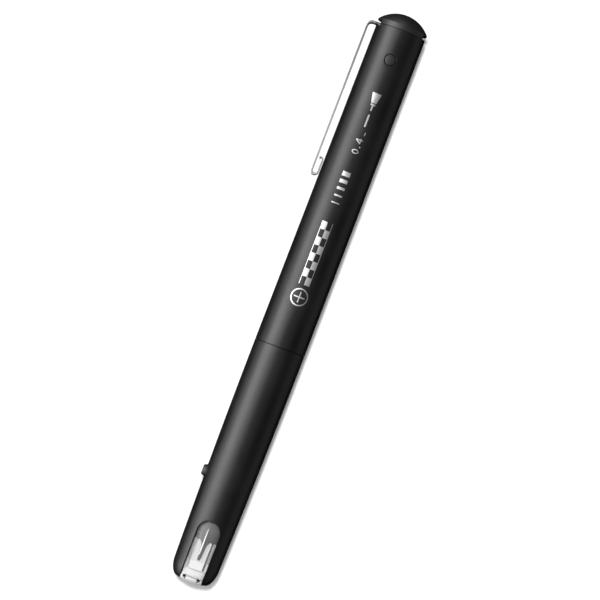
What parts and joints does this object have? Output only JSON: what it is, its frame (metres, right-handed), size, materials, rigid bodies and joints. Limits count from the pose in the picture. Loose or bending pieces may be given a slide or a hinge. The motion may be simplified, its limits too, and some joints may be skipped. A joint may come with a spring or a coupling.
{
  "type": "technical pen",
  "caption": "Capped liquid-ink pen with a fine needle point, sprung steel clip, clear ink window at the rounded tail and a small anti-roll stud.",
  "frame": {"origin": "centre of the flat at the very end of the rounded tail, on the pen's axis", "axes": "+X along the pen's axis from the tail to the domed end of the cap; +Y towards the clip and the roll stop; +Z out of the printed side with the ink window, up as the pen lies"},
  "size_m": [0.14, 0.0142, 0.012],
  "materials": {
    "black_shell": "satin",
    "black_trim": "satin",
    "clear_plastic": "clear, polished",
    "smoke_plastic": "translucent",
    "white_plastic": "smooth",
    "ivory_plastic": "smooth",
    "ink": "wet",
    "soft_grip": "matt",
    "seal_rubber": "matt",
    "fibre": "bonded fibre",
    "clip_steel": "plated spring steel",
    "point_steel": "drawn and turned stainless",
    "ball": "polished hard metal"
  },
  "bodies": {
    "barrel": {"barrel": "black_shell", "window_insert": "clear_plastic", "tail_plug": "white_plastic", "ink_tank": "smoke_plastic", "ink_fill": "ink", "roll_stop": "black_trim", "tank_bulkhead": "ivory_plastic", "grip_section": "black_trim", "grip_sleeve": "soft_grip", "nose_cone": "black_trim", "needle_hub": "point_steel", "needle_tube": "point_steel", "relay_core": "fibre", "feed_comb": "ivory_plastic", "ink_wick": "fibre"},
    "seal_ring": {"cap_seal_ring": "seal_rubber"},
    "cap": {"cap_tube": "black_shell", "cap_end_plug": "black_trim", "cap_liner": "ivory_plastic", "seal_pad": "seal_rubber", "clip_tongue": "clip_steel"},
    "clip": {"clip_arm": "clip_steel"},
    "ball": {"writing_ball": "ball"}
  },
  "joints": [
    {"name": "cap_twist", "type": "hinge", "parent": "barrel", "child": "seal_ring", "pos_m": [0.0615, 0, 0], "axis": [1, 0, 0], "continuous": true},
    {"name": "cap_pull", "type": "slide", "parent": "seal_ring", "child": "cap", "axis": [1, 0, 0], "range_m": [0, 0.065]},
    {"name": "clip_flex", "type": "hinge", "parent": "cap", "child": "clip", "pos_m": [0.13584, 0.00628, 0], "axis": [0, 0, -1], "range_deg": [0, 4], "stiffness_Nm_per_rad": 1},
    {"name": "ball_spin", "type": "hinge", "parent": "barrel", "child": "ball", "pos_m": [0.12168, 0, 0], "axis": [0, 1, 0], "continuous": true}
  ]
}
